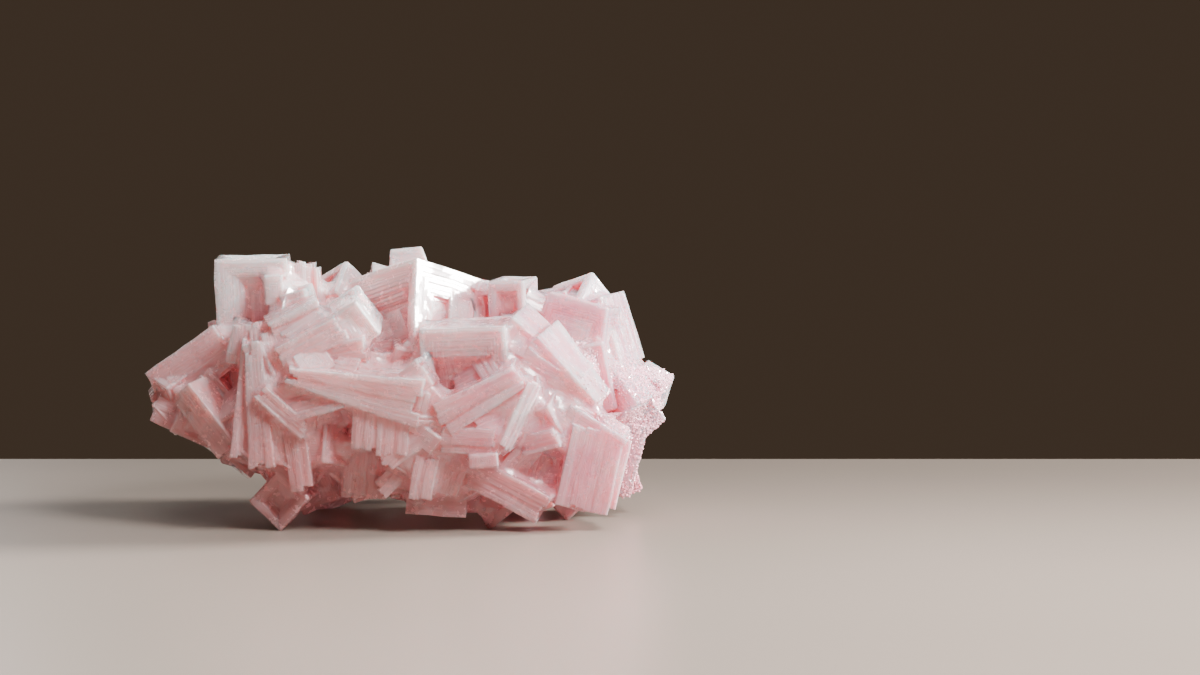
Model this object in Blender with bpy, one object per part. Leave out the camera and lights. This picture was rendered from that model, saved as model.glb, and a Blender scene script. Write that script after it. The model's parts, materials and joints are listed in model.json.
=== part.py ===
"""Pink halite cluster, grown as one piece: hopper cubes, ledged slabs and blades, fused to one solid.

Lengths are in millimetres in the tables below and become metres when the shapes are made.
+Z is up, X runs along the cluster, the origin is under its middle on the surface that it rests on.
A crystal's own X axis is the way its growth lines run, its -Y side is its front.
"""

import math
import random
from collections import namedtuple

import bmesh
import bpy
from mathutils import Euler, Matrix, Vector

MM = 0.001
CENTRING = (-0.9, -2.7, 0)         # brings the middle of the whole cluster over the origin
CORE_CENTRE = (-1, 4, 41)          # massive salt that every crystal grew out of
CORE_HALF_SIZE = (55, 25, 22)
HOLLOW_STEPS = 2                   # terraces in each hopper face
RIM_SHARE = 0.22                   # flat rim round a hollow, as a share of the face
SLAB_COURSES = 3                   # parallel plates in each slab
COURSE_OVERLAP = 0.25              # how far a plate runs into the next one
FOOT_CUT_DEPTH = 20                # the block that trims the feet flat reaches this far down
SALT_COLOUR = (0.86, 0.55, 0.54, 1)
SALT_ROUGHNESS = 0.35

# at: middle of the crystal. size: along its lines, front to back, and up. turn: roll about its own
# length, slope of the length above the horizon, and swing about the vertical, in degrees.
# hollows: the faces that are stepped hollows: F front, B back, L and R ends, T top, U under.
# rims: rim shares left, right, low and high where a face's aren't even.
# taper: how much of its section it loses from the -X end to the +X end. pinch: the same, from foot to top.
Crystal = namedtuple(
    "Crystal", "name form at size turn hollows rims taper pinch", defaults=("", {}, 0, 0))

TOP_ROW = [
    Crystal("corner_cube", "hopper", (-42.8, -7, 64), (20, 19, 19.5), (2, 1, 5), "FLT",
            {"F": (0.3, 0.28, 0.02, 0.3)}),
    Crystal("corner_step_high", "slab", (-30, -6, 65.3), (14.5, 8, 4.6), (8, 89, 4)),
    Crystal("corner_step_low", "slab", (-26.7, -4, 64.5), (15, 9, 3.8), (4, 91, -4)),
    Crystal("small_front_cube", "hopper", (-35.6, -17, 65), (5.2, 7, 8.5), (0, 2, 4)),
    Crystal("white_knob", "hopper", (-28.7, -18, 62), (7.5, 8, 7), (12, 14, -12), "T"),
    Crystal("pointed_cube", "hopper", (-19.7, 6, 61.3), (13, 13, 13), (45, 24, -35), "FT"),
    Crystal("cap_block", "hopper", (-0.3, 6, 67.5), (15, 14, 16), (-6, 7, 6), "T", {}, 0, 0.4),
    Crystal("great_hopper", "hopper", (1.2, -4.9, 54.4), (30, 25, 27), (-16, 14.5, -41.5), "FRT",
            {"F": (0.14, 0.16, 0.1, 0.24), "R": (0.3, 0.06, 0.14, 0.3)}),
    Crystal("great_hopper_core", "hopper", (14.5, -7, 57.5), (9, 9, 10), (-14, 12, -41.5), "R"),
    Crystal("shoulder_cube", "hopper", (29.6, -4, 60.3), (10.5, 13, 14.5), (4, 1, -16), "FRT"),
    Crystal("peak_cube", "hopper", (48.3, 6, 57), (15, 15, 15), (40, 18, -35), "FT"),
    Crystal("peak_shoulder", "slab", (55, 4, 51.5), (21, 22, 12), (6, -72, -12)),
    Crystal("peak_face", "hopper", (47.5, -3, 51.5), (25, 19, 21), (-4, -14, -18), "", {}, 0, 0.3),
    Crystal("peak_left", "hopper", (42, 5, 57.5), (11, 14, 13), (6, 14, -10), "T"),
]

LEFT_WING = [
    Crystal("wing_slab", "slab", (-56, -9, 43.4), (25, 22, 12), (-4, 35, -8)),
    Crystal("wing_end", "hopper", (-64.6, -8, 35), (12, 18, 12), (6, 52, 8), "F", {}, 0, 0.2),
    Crystal("wing_blade", "slab", (-51.6, -26, 30.7), (21, 9, 7.5), (16, -50, -14)),
    Crystal("wing_back_blade", "slab", (-49.3, -18, 35), (18, 10, 7), (4, -46, -4)),
    Crystal("wing_under", "slab", (-60, -14, 28), (18, 14, 7), (-8, -24, -6)),
    Crystal("rim_under", "slab", (-50.5, -8, 20.7), (21, 16, 7), (-10, -38, 6)),
    Crystal("low_left_slab", "slab", (-37.4, -24, 19.4), (18, 12, 6), (-10, -16, -8)),
    Crystal("knuckle", "slab", (-42, -24, 51), (12, 10, 8), (0, 84, -6), taper=0.3),
]

FRONT = [
    Crystal("fan_left", "slab", (-41.6, -30, 36.5), (32, 9, 5.5), (0, 86, 8), taper=0.6),
    Crystal("fan_middle", "slab", (-38, -32, 35), (34, 8, 5.5), (4, -86, 4), taper=-0.5),
    Crystal("fan_right", "slab", (-34.5, -31, 41), (24, 8, 5), (4, -66, -6)),
    Crystal("cross_slab", "slab", (-31, -34, 33.5), (17, 8, 4.5), (6, -42, 4)),
    Crystal("cross_tie", "slab", (-22, -34, 35), (16, 9, 6), (-6, 16, -6)),
    Crystal("pink_slab", "slab", (-28.8, -27, 57.6), (15, 10, 6), (8, 24, 10)),
    Crystal("long_slab", "slab", (-24.3, -30, 52.5), (19, 11, 7), (14, 27, 6)),
    Crystal("white_block", "hopper", (-14.8, -26, 56.3), (15, 12, 12), (22, 32, -8)),
    Crystal("under_white_block", "slab", (-16, -27, 48), (16, 12, 9), (10, 10, -6)),
    Crystal("centre_slab", "slab", (-12, -36, 40), (37, 9, 8.5), (8, -11, 6), taper=-1.1),
    Crystal("centre_rise", "slab", (1.5, -34, 39), (18, 10, 8), (4, 40, -10)),
    Crystal("prism", "hopper", (-21, -27, 27.5), (21, 11, 11), (38, -72, -90), ""),
    Crystal("post", "slab", (-27.3, -31, 21), (19, 9, 6), (-4, -82, -6)),
    Crystal("centre_post", "slab", (-4.6, -34, 30), (17, 10, 15), (4, 86, -4)),
    Crystal("crossing_low", "slab", (2, -34, 24.5), (17, 8, 5.5), (4, 36, 6)),
    Crystal("crossing_light", "hopper", (8, -35, 26.5), (7, 6, 6), (10, -38, -6)),
    Crystal("ledge_hopper", "hopper", (18.3, -23, 44.5), (23.5, 20, 24), (4, 3, -4), "F",
            {"F": (0.06, 0.2, 0.03, 0.42)}),
    Crystal("diagonal_block", "slab", (22, -35, 37.3), (25, 9, 8), (6, 29, -4), taper=0.4),
    Crystal("diagonal_behind", "slab", (23, -30, 33), (21, 9, 8), (6, 30, -4)),
    Crystal("level_block", "slab", (19, -34, 26), (15, 10, 7), (6, -3, -5)),
    Crystal("level_chip", "hopper", (22.7, -37, 20.6), (8, 6, 4), (4, 3, 4), ""),
    Crystal("gap_chip", "hopper", (29.5, -27, 22.5), (6, 8, 7), (14, 14, 20), ""),
    Crystal("bright_blade", "slab", (31, -36, 32.6), (20, 6, 4), (24, 65, 8)),
    Crystal("lit_cube", "hopper", (38.5, -29, 31.8), (11, 11, 9), (28, 18, -24), "R"),
    Crystal("lit_cube_step", "slab", (38.5, -31, 25.8), (11, 9, 5), (10, 14, -14)),
    Crystal("inner_post", "slab", (36.5, -26, 18.5), (13, 8, 7), (6, 74, 8)),
    Crystal("great_slab", "slab", (44.3, -25, 42.7), (25, 12, 9.5), (20, -46, -8), taper=0.4),
    Crystal("great_slab_under", "slab", (43.5, -26, 40.3), (25, 10, 8), (10, -30, -6), taper=1.0),
    Crystal("great_slab_root", "slab", (35, -22, 49), (12, 14, 12), (4, 70, -20)),
]

RIGHT_END = [
    Crystal("front_block_left", "slab", (47.4, -26, 19.7), (27, 13, 9), (6, 77, 6)),
    Crystal("front_block_right", "slab", (54.8, -25, 16.5), (20, 13, 9), (6, 77, 6)),
    Crystal("front_block_cap", "slab", (53.8, -25, 29), (18, 12, 4.5), (10, -34, 6)),
    Crystal("nub", "hopper", (67.6, 4, 36.2), (12, 15, 10), (10, -30, -14), "", {}, 0, 0.25),
    Crystal("nub_low", "hopper", (62, 2, 29), (14, 18, 12), (-8, -52, 8), ""),
    Crystal("shoulder_low", "slab", (58.8, -6, 37.5), (18, 14, 11), (10, -52, -18)),
    Crystal("right_skirt", "slab", (57, 0, 17.5), (20, 18, 11), (8, 76, 10)),
    Crystal("right_tip", "slab", (59.5, 6, 12.3), (14, 14, 7), (0, -72, 10)),
]

FEET = [
    Crystal("left_foot", "hopper", (-32.5, -25, 8.6), (12, 11, 12.6), (4, -43, -4), "F"),
    Crystal("left_foot_behind", "hopper", (-26, -14, 10), (11, 11, 12), (-6, 26, 8), "F"),
    Crystal("dark_strut", "slab", (-19, -8, 15.5), (16, 10, 9), (0, 24, 0)),
    Crystal("hanging_block", "hopper", (-9.2, -20, 16.3), (14, 14, 15), (-6, 9, -6)),
    Crystal("pillow_block", "slab", (9, -22, 9.5), (17, 16, 12), (-6, -4, 2)),
    Crystal("pillow_strip", "slab", (6.3, -33, 15), (12, 7, 6), (0, 80, 4)),
    Crystal("falling_slab", "slab", (3.5, -27, 16.5), (18, 10, 7), (4, -58, -4)),
    Crystal("low_block", "slab", (14, -27, 18), (16, 12, 8), (4, 70, -4)),
    Crystal("wedge_tip", "slab", (25, -20, 7.6), (11.5, 11, 11.5), (0, 38, -4)),
    Crystal("brown_slab", "slab", (29, -29, 12), (24, 10, 8), (6, -27, -4)),
    Crystal("tip_block", "hopper", (35.5, -16, 8.3), (8, 10, 9), (6, 24, 6), ""),
    Crystal("notch_tip", "hopper", (44.5, -4, 7.3), (11, 11, 11), (0, 42, 4)),
]

BACK = [
    Crystal("back_hopper", "hopper", (-18, 26, 48), (30, 26, 26), (12, 12, 24), "BLT"),
    Crystal("back_cube_high", "hopper", (14, 20, 54), (21, 20, 20), (-10, 14, -28), "BRT"),
    Crystal("back_cube_left", "hopper", (-44, 18, 48), (20, 19, 18), (14, -20, -18), "BLT"),
    Crystal("back_cube_right", "hopper", (42, 22, 42), (24, 22, 21), (-14, -18, 26), "BRT"),
    Crystal("back_slab_long", "slab", (4, 34, 38), (42, 12, 9), (-12, 28, 6)),
    Crystal("back_slab_cross", "slab", (-14, 35, 28), (32, 11, 9), (10, -38, -8)),
    Crystal("back_slab_left", "slab", (-52, 20, 34), (26, 13, 9), (-8, 42, 18)),
    Crystal("back_slab_right", "slab", (52, 20, 27), (24, 13, 9), (12, -46, -20)),
    Crystal("back_slab_low", "slab", (22, 31, 22), (28, 12, 9), (-8, -22, 14)),
    Crystal("back_block_low", "hopper", (-2, 24, 20), (17, 18, 16), (10, 20, 10), "B"),
    Crystal("back_foot_left", "hopper", (-28, 15, 11.5), (13, 13, 22), (14, 16, 30), "BL"),
    Crystal("back_foot_right", "hopper", (30, 14, 11), (14, 13, 21), (-12, -14, -24), "BR"),
    Crystal("back_crest", "slab", (-4, 24, 62), (22, 12, 9), (24, -16, 12)),
    Crystal("under_block_left", "hopper", (-12, 4, 23), (20, 19, 16), (16, 10, 24)),
    Crystal("under_block_middle", "slab", (8, 4, 21), (24, 16, 12), (-12, -14, -18)),
    Crystal("under_block_right", "hopper", (30, -2, 20), (17, 17, 15), (20, 14, 30)),
    Crystal("left_end_block", "hopper", (-60, 6, 37), (15, 18, 15), (20, 30, 30), "LB"),
]

SCATTER_COUNT = 15                 # smaller crystals over the back and the underside
SCATTER_REACH = (54, 34, 26)       # half-axes of the shell that they stand on

ROOT_COLUMNS = (-52, -38, -24, -10, 4, 18, 32, 46)     # blocks that close the gaps behind the front
ROOT_ROWS = ((25, 22, -40), (40, 26, -60))             # height, reach forward, and where the row starts
ROOT_SPREAD = 72                   # the rows fall back to nothing this far from the middle
ROOT_SIZE = 19


def turned(crystal):
    """The crystal's place as a matrix, in metres."""
    roll, slope, swing = (math.radians(angle) for angle in crystal.turn)
    turn = Euler((roll, -slope, swing), "XYZ").to_matrix().to_4x4()
    return Matrix.Translation((Vector(crystal.at) + Vector(CENTRING)) * MM) @ turn


# Each face of a box: its two edge directions and its outward normal.
FACES = {
    "F": ((1, 0, 0), (0, 0, 1), (0, -1, 0)),
    "B": ((-1, 0, 0), (0, 0, 1), (0, 1, 0)),
    "R": ((0, 1, 0), (0, 0, 1), (1, 0, 0)),
    "L": ((0, -1, 0), (0, 0, 1), (-1, 0, 0)),
    "T": ((1, 0, 0), (0, 1, 0), (0, 0, 1)),
    "U": ((1, 0, 0), (0, -1, 0), (0, 0, -1)),
}


def add_ring(bm, along, up, out, left, right, low, high, level):
    """Four points of a rectangle on a face, at its level below the crystal's middle plane."""
    corners = ((left, low), (right, low), (right, high), (left, high))
    return [bm.verts.new(along * a + up * b + out * level) for a, b in corners]


def bridge(bm, outer, inner):
    for i in range(4):
        j = (i + 1) % 4
        bm.faces.new((outer[i], outer[j], inner[j], inner[i]))


def hopper(crystal, rng):
    """A cube whose chosen faces go down in square terraces, as halite does when its edges outgrow its faces."""
    half = Vector(crystal.size) * MM / 2
    bm = bmesh.new()
    for letter, axes in FACES.items():
        along, up, out = (Vector(axis) for axis in axes)
        a, b, c = (abs(axis.dot(half)) for axis in (along, up, out))
        ring = add_ring(bm, along, up, out, -a, a, -b, b, c)
        if letter in crystal.hollows:
            rims = crystal.rims.get(letter, (RIM_SHARE,) * 4)
            left, right, low, high = (share * rng.uniform(0.85, 1.15) for share in rims)
            deepest = min(0.36 * min(a, b), 0.5 * c)
            for step in range(1, HOLLOW_STEPS + 1):
                grown = 1 + 0.35 * (step - 1)
                box = (-a + 2 * a * left * grown, a - 2 * a * right * grown,
                       -b + 2 * b * low * grown, b - 2 * b * high * grown)
                ledge = add_ring(bm, along, up, out, *box, c - deepest * (step - 1) / HOLLOW_STEPS)
                bridge(bm, ring, ledge)
                ring = add_ring(bm, along, up, out, *box, c - deepest * step / HOLLOW_STEPS)
                bridge(bm, ledge, ring)
        bm.faces.new(ring)
    bmesh.ops.remove_doubles(bm, verts=bm.verts, dist=1e-6)
    return [bm]


def slab(crystal, rng):
    """Parallel plates on each other, each a little longer, shorter or prouder than the next."""
    length, depth, height = (side * MM for side in crystal.size)
    shares = [rng.uniform(0.7, 1.3) for _ in range(SLAB_COURSES)]
    rise = -height / 2
    plates = []
    tallest = rng.randrange(SLAB_COURSES)
    for course, share in enumerate(shares):
        thick = height * share / sum(shares)
        proud = 0 if course == tallest else rng.uniform(0.03, 0.09)
        ends = 0 if course == tallest else rng.uniform(0.03, 0.12)
        shift = rng.uniform(-0.5, 0.5) * ends * length
        bm = bmesh.new()
        bmesh.ops.create_cube(bm, size=1)
        sides = (length * (1 - ends), depth * (1 - proud), thick + COURSE_OVERLAP * MM)
        bmesh.ops.transform(bm, matrix=Matrix.Diagonal((*sides, 1)), verts=bm.verts)
        bmesh.ops.translate(bm, vec=(shift, 0, rise + thick / 2), verts=bm.verts)
        rise += thick
        plates.append(bm)
    return plates


FORMS = {"hopper": hopper, "slab": slab}


def roots(rng):
    """Plain blocks just under the front crystals, so that the gaps between those end on crystal faces."""
    found = []
    for x in ROOT_COLUMNS:
        for z, reach, start in ROOT_ROWS:
            if x < start:
                continue
            front = -reach * math.sqrt(1 - (x / ROOT_SPREAD) ** 2)
            at = (x + rng.uniform(-3, 3), front + ROOT_SIZE / 2, z + rng.uniform(-2, 2))
            size = [ROOT_SIZE * rng.uniform(0.85, 1.1) for _ in range(3)]
            turn = [rng.uniform(-18, 18) for _ in range(3)]
            found.append(Crystal(f"root_{len(found) + 1}", "hopper", at, size, turn))
    return found


def narrow(bm, crystal):
    """Draws the crystal in towards its +X end and towards its top."""
    length, _, height = (side * MM for side in crystal.size)
    for vert in bm.verts:
        section = 1 - crystal.taper * vert.co.x / length
        storey = 1 - crystal.pinch * (vert.co.z / height + 0.5)
        vert.co = (vert.co.x * storey, vert.co.y * section * storey, vert.co.z * section)


def scattered(rng):
    """Smaller crystals that point outwards from the core, where the front ones leave it bare."""
    found = []
    for i in range(SCATTER_COUNT):
        heading = math.radians(rng.uniform(5, 175))
        rise = math.radians(rng.uniform(-58, 35))
        out = Vector((math.cos(heading) * math.cos(rise), math.sin(heading) * math.cos(rise), math.sin(rise)))
        at = [c + r * o for c, r, o in zip(CORE_CENTRE, SCATTER_REACH, out)]
        at[2] = max(at[2], 15)
        size = (rng.uniform(13, 21), rng.uniform(9, 13), rng.uniform(7, 11))
        turn = (rng.uniform(0, 90), rng.uniform(-50, 50), rng.uniform(-90, 90))
        form = rng.choice(("hopper", "slab"))
        found.append(Crystal(f"scattered_{i + 1}", form, at, size, turn, rng.choice("BRLT")))
    return found


def add_object(name, bm, place, collection):
    bmesh.ops.recalc_face_normals(bm, faces=bm.faces)
    mesh = bpy.data.meshes.new(name)
    bm.to_mesh(mesh)
    bm.free()
    mesh.transform(place)
    obj = bpy.data.objects.new(name, mesh)
    collection.objects.link(obj)
    return obj


def salt():
    """Milky pink halite."""
    material = bpy.data.materials.new("pink_halite")
    material.use_nodes = True
    surface = material.node_tree.nodes["Principled BSDF"]
    surface.inputs["Base Color"].default_value = SALT_COLOUR
    surface.inputs["Roughness"].default_value = SALT_ROUGHNESS
    surface.inputs["Metallic"].default_value = 0
    return material


def outermost(bm):
    """Leaves only the skin with the most faces, so that no closed pocket stays inside."""
    skins = []
    unseen = set(bm.faces)
    while unseen:
        skin = [unseen.pop()]
        for face in skin:
            for edge in face.edges:
                fresh = unseen.intersection(edge.link_faces)
                unseen -= fresh
                skin.extend(fresh)
        skins.append(skin)
    skins.sort(key=len)
    for skin in skins[:-1]:
        bmesh.ops.delete(bm, geom=skin, context="FACES")


def main():
    for obj in list(bpy.data.objects):
        bpy.data.objects.remove(obj)
    scene = bpy.context.scene.collection
    grown = bpy.data.collections.new("crystals_to_fuse")
    scene.children.link(grown)
    rng = random.Random(7)
    for crystal in TOP_ROW + LEFT_WING + FRONT + RIGHT_END + FEET + BACK + roots(rng) + scattered(rng):
        for bm in FORMS[crystal.form](crystal, rng):
            narrow(bm, crystal)
            piece = add_object(crystal.name, bm, turned(crystal), grown)
            piece.hide_render = True
            piece.display_type = "WIRE"
    bm = bmesh.new()
    bmesh.ops.create_icosphere(bm, subdivisions=1, radius=MM)
    place = turned(Crystal("core", "", CORE_CENTRE, (), (0, 0, 0))) @ Matrix.Diagonal((*CORE_HALF_SIZE, 1))
    core = add_object("core", bm, place, scene)
    fuse = core.modifiers.new("fuse", "BOOLEAN")
    fuse.operation = "UNION"
    fuse.operand_type = "COLLECTION"
    fuse.collection = grown
    bm = bmesh.new()
    bmesh.ops.create_cube(bm, size=2 * FOOT_CUT_DEPTH * MM)
    place = Matrix.Translation((0, 0, -FOOT_CUT_DEPTH * MM)) @ Matrix.Diagonal((8, 8, 1, 1))
    ground = add_object("ground_cut", bm, place, scene)
    ground.hide_render = True
    ground.display_type = "WIRE"
    trim = core.modifiers.new("flat_feet", "BOOLEAN")
    trim.operation = "DIFFERENCE"
    trim.object = ground
    bm = bmesh.new()
    bm.from_object(core, bpy.context.evaluated_depsgraph_get())
    outermost(bm)
    cluster = add_object("halite_cluster", bm, Matrix(), scene)
    cluster.data.materials.append(salt())
    bpy.data.objects.remove(core)


main()
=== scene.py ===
import json
import math
import random
from collections import namedtuple

import bmesh
import bpy
import numpy as np
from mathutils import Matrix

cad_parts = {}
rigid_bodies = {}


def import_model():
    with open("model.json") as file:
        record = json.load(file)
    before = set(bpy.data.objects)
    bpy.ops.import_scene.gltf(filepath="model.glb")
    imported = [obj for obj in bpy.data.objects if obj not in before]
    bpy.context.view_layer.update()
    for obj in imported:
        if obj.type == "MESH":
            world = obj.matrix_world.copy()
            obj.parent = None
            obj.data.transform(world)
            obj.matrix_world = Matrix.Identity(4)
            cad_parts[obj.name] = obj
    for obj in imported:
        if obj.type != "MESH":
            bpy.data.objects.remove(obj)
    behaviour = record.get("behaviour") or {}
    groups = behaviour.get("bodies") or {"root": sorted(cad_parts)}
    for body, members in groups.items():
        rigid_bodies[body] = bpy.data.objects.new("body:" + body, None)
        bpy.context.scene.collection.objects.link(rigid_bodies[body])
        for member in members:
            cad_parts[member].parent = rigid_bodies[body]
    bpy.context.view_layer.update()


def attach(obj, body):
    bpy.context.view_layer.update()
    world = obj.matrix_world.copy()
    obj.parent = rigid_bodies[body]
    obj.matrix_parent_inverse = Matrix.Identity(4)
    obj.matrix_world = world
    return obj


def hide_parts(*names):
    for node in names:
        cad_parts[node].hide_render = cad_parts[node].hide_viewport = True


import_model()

import openvdb
from mathutils import Euler, Matrix, Vector, noise
from mathutils.bvhtree import BVHTree

mm = 0.001

# ---- the crystals: at, size and turn are in mm and degrees, as the solid has them ----

Crystal = namedtuple("Crystal", "name kind at size turn hollows rims taper pinch")


def hopper(name, at, size, turn, hollows="", rims=None, taper=0, pinch=0):
    return Crystal(name, "hopper", at, size, turn, hollows, rims or {}, taper, pinch)


def slab(name, at, size, turn, hollows="", rims=None, taper=0, pinch=0):
    return Crystal(name, "slab", at, size, turn, hollows, rims or {}, taper, pinch)


topRow = [
    hopper("cornerCube", (-42.8, -7, 64), (20, 19, 19.5), (2, 1, 5), "FLT",
            {"F": (0.3, 0.28, 0.02, 0.3)}),
    slab("cornerStepHigh", (-30, -6, 65.3), (14.5, 8, 4.6), (8, 89, 4)),
    slab("cornerStepLow", (-26.7, -4, 64.5), (15, 9, 3.8), (4, 91, -4)),
    hopper("smallFrontCube", (-35.6, -17, 65), (5.2, 7, 8.5), (0, 2, 4)),
    hopper("whiteKnob", (-28.7, -18, 62), (7.5, 8, 7), (12, 14, -12), "T"),
    hopper("pointedCube", (-19.7, 6, 61.3), (13, 13, 13), (45, 24, -35), "FT"),
    hopper("capBlock", (-0.3, 6, 67.5), (15, 14, 16), (-6, 7, 6), "T", {}, 0, 0.4),
    hopper("greatHopper", (1.2, -4.9, 54.4), (30, 25, 27), (-16, 14.5, -41.5), "FRT",
            {"F": (0.14, 0.16, 0.1, 0.24), "R": (0.3, 0.06, 0.14, 0.3, "well")}),
    hopper("greatHopperCore", (11.2, -5.7, 55.4), (13, 10.5, 16), (-16, 14.5, -41.5), "", {}, 0, 0),
    hopper("shoulderCube", (29.6, -4, 60.3), (10.5, 13, 14.5), (4, 1, -16), "FRT"),
    hopper("peakCube", (48.3, 6, 57), (15, 15, 15), (40, 18, -35), "FT"),
    slab("peakShoulder", (55, 4, 51.5), (21, 22, 12), (6, -72, -12)),
    hopper("peakFace", (47.5, -3, 51.5), (25, 19, 21), (-4, -14, -18), "", {}, 0, 0.3),
    hopper("peakLeft", (42, 5, 57.5), (11, 14, 13), (6, 14, -10), "T"),
]

leftWing = [
    slab("wingSlab", (-56, -9, 43.4), (25, 22, 12), (-4, 35, -8)),
    hopper("wingEnd", (-64.6, -8, 35), (12, 18, 12), (6, 52, 8), "F", {}, 0, 0.2),
    slab("wingBlade", (-51.6, -26, 30.7), (21, 9, 7.5), (16, -50, -14)),
    slab("wingBackBlade", (-49.3, -18, 35), (18, 10, 7), (4, -46, -4)),
    slab("wingUnder", (-60, -14, 28), (18, 14, 7), (-8, -24, -6)),
    slab("rimUnder", (-50.5, -8, 20.7), (21, 16, 7), (-10, -38, 6)),
    slab("lowLeftSlab", (-37.4, -24, 19.4), (18, 12, 6), (-10, -16, -8)),
    slab("knuckle", (-42, -24, 51), (12, 10, 8), (0, 84, -6), taper=0.3),
]

front = [
    slab("fanLeft", (-41.6, -30, 36.5), (32, 9, 5.5), (0, 86, 8), taper=0.6),
    slab("fanMiddle", (-38, -32, 35), (34, 8, 5.5), (4, -86, 4), taper=-0.5),
    slab("fanRight", (-34.5, -31, 41), (24, 8, 5), (4, -66, -6)),
    slab("crossSlab", (-31, -34, 33.5), (17, 8, 4.5), (6, -42, 4)),
    slab("crossTie", (-22, -34, 35), (16, 9, 6), (-6, 16, -6)),
    slab("pinkSlab", (-28.8, -27, 57.6), (15, 10, 6), (8, 24, 10)),
    slab("longSlab", (-24.3, -30, 52.5), (19, 11, 7), (14, 27, 6)),
    hopper("whiteBlock", (-14.8, -26, 56.3), (15, 12, 12), (22, 32, -8)),
    slab("underWhiteBlock", (-16, -27, 48), (16, 12, 9), (10, 10, -6)),
    slab("centreSlab", (-12, -36, 40), (37, 9, 8.5), (8, -11, 6), taper=-1.1),
    slab("centreRise", (1.5, -34, 39), (18, 10, 8), (4, 40, -10)),
    hopper("prism", (-21, -27, 27.5), (21, 11, 11), (38, -72, -90), ""),
    slab("post", (-27.3, -31, 21), (19, 9, 6), (-4, -82, -6)),
    slab("centrePost", (-4.6, -34, 30), (17, 10, 15), (4, 86, -4)),
    slab("crossingLow", (2, -34, 24.5), (17, 8, 5.5), (4, 36, 6)),
    hopper("crossingLight", (8, -35, 26.5), (7, 6, 6), (10, -38, -6)),
    hopper("ledgeHopper", (18.3, -23, 44.5), (23.5, 20, 24), (4, 3, -4), "F",
            {"F": (0.06, 0.2, 0.03, 0.42)}),
    slab("diagonalBlock", (22, -35, 37.3), (25, 9, 8), (6, 29, -4), taper=0.4),
    slab("diagonalBehind", (23, -30, 33), (21, 9, 8), (6, 30, -4)),
    slab("levelBlock", (19, -34, 26), (15, 10, 7), (6, -3, -5)),
    hopper("levelChip", (22.7, -37, 20.6), (8, 6, 4), (4, 3, 4), ""),
    hopper("gapChip", (29.5, -27, 22.5), (6, 8, 7), (14, 14, 20), ""),
    slab("brightBlade", (31, -36, 32.6), (20, 6, 4), (24, 65, 8)),
    hopper("litCube", (38.5, -29, 31.8), (11, 11, 9), (28, 18, -24), "R"),
    slab("litCubeStep", (38.5, -31, 25.8), (11, 9, 5), (10, 14, -14)),
    slab("innerPost", (36.5, -26, 18.5), (13, 8, 7), (6, 74, 8)),
    slab("greatSlab", (44.3, -25, 42.7), (25, 12, 9.5), (20, -46, -8), taper=0.4),
    slab("greatSlabUnder", (43.5, -26, 40.3), (25, 10, 8), (10, -30, -6), taper=1.0),
    slab("greatSlabRoot", (35, -22, 49), (12, 14, 12), (4, 70, -20)),
]

rightEnd = [
    slab("frontBlockLeft", (47.4, -26, 19.7), (27, 13, 9), (6, 77, 6)),
    slab("frontBlockRight", (54.8, -25, 16.5), (20, 13, 9), (6, 77, 6)),
    slab("frontBlockCap", (53.8, -25, 29), (18, 12, 4.5), (10, -34, 6)),
    hopper("nub", (67.6, 4, 36.2), (12, 15, 10), (10, -30, -14), "", {}, 0, 0.25),
    hopper("nubLow", (62, 2, 29), (14, 18, 12), (-8, -52, 8), ""),
    slab("shoulderLow", (58.8, -6, 37.5), (18, 14, 11), (10, -52, -18)),
    slab("rightSkirt", (57, 0, 17.5), (20, 18, 11), (8, 76, 10)),
    slab("rightTip", (59.5, 6, 12.3), (14, 14, 7), (0, -72, 10)),
]

feet = [
    hopper("leftFoot", (-32.5, -25, 8.6), (12, 11, 12.6), (4, -43, -4), "F"),
    hopper("leftFootBehind", (-26, -14, 10), (11, 11, 12), (-6, 26, 8), "F"),
    slab("darkStrut", (-19, -8, 15.5), (16, 10, 9), (0, 24, 0)),
    hopper("hangingBlock", (-9.2, -20, 16.3), (14, 14, 15), (-6, 9, -6)),
    slab("pillowBlock", (9, -22, 9.5), (17, 16, 12), (-6, -4, 2)),
    slab("pillowStrip", (6.3, -33, 15), (12, 7, 6), (0, 80, 4)),
    slab("fallingSlab", (3.5, -27, 16.5), (18, 10, 7), (4, -58, -4)),
    slab("lowBlock", (14, -27, 18), (16, 12, 8), (4, 70, -4)),
    slab("wedgeTip", (25, -20, 7.6), (11.5, 11, 11.5), (0, 38, -4)),
    slab("brownSlab", (29, -29, 12), (24, 10, 8), (6, -27, -4)),
    hopper("tipBlock", (35.5, -16, 8.3), (8, 10, 9), (6, 24, 6), ""),
    hopper("notchTip", (44.5, -4, 7.3), (11, 11, 11), (0, 42, 4)),
]

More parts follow.
